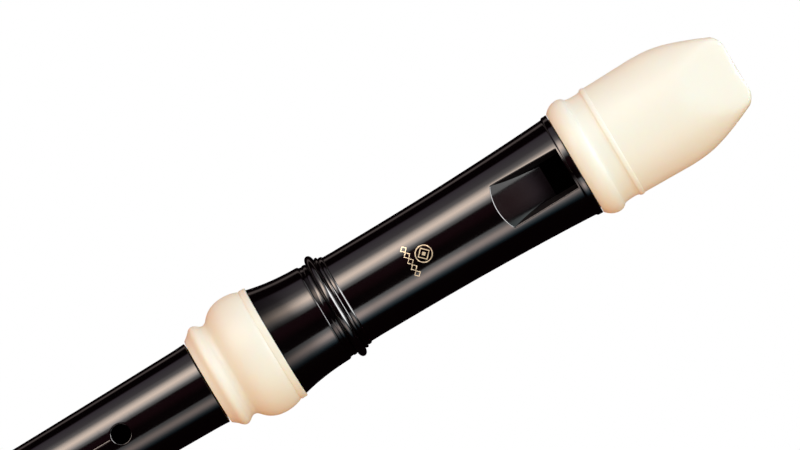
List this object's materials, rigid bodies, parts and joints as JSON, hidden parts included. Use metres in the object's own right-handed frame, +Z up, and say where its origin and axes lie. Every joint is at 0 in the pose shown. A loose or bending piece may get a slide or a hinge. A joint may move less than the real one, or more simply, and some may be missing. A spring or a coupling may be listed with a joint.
{
  "type": "soprano recorder",
  "caption": "School soprano recorder in moulded plastic: beak mouthpiece, windway and labium, finger holes, and joints that pull apart and turn to tune.",
  "frame": {"origin": "on the surface the recorder lies on, under the middle of its length", "axes": "+X along the bore towards the beak, +Z up, out of the window and finger holes, +Y across"},
  "size_m": [0.327, 0.0274, 0.0275],
  "materials": {
    "ivory_plastic": "polished ivory ABS, slightly translucent",
    "black_plastic": "polished brown-black ABS",
    "gold_stamp": "hot-stamped gold foil"
  },
  "bodies": {
    "middle_joint": {"body_tube": "black_plastic"},
    "head_carrier": {"head_ring": "ivory_plastic"},
    "head_joint": {"head_tube": "black_plastic", "beak_cap": "ivory_plastic", "block": "black_plastic"},
    "foot_carrier": {"foot_ring": "ivory_plastic"},
    "foot_joint": {"foot_tube": "black_plastic"}
  },
  "joints": [
    {"name": "head_slide", "type": "slide", "parent": "middle_joint", "child": "head_carrier", "axis": [1, 0, 0], "range_m": [0, 0.0188]},
    {"name": "head_turn", "type": "hinge", "parent": "head_carrier", "child": "head_joint", "pos_m": [0.0485, 0, 0.01373], "axis": [1, 0, 0], "continuous": true},
    {"name": "foot_slide", "type": "slide", "parent": "middle_joint", "child": "foot_carrier", "axis": [-1, 0, 0], "range_m": [0, 0.011]},
    {"name": "foot_turn", "type": "hinge", "parent": "foot_carrier", "child": "foot_joint", "pos_m": [-0.1085, 0, 0.01373], "axis": [1, 0, 0], "continuous": true}
  ]
}
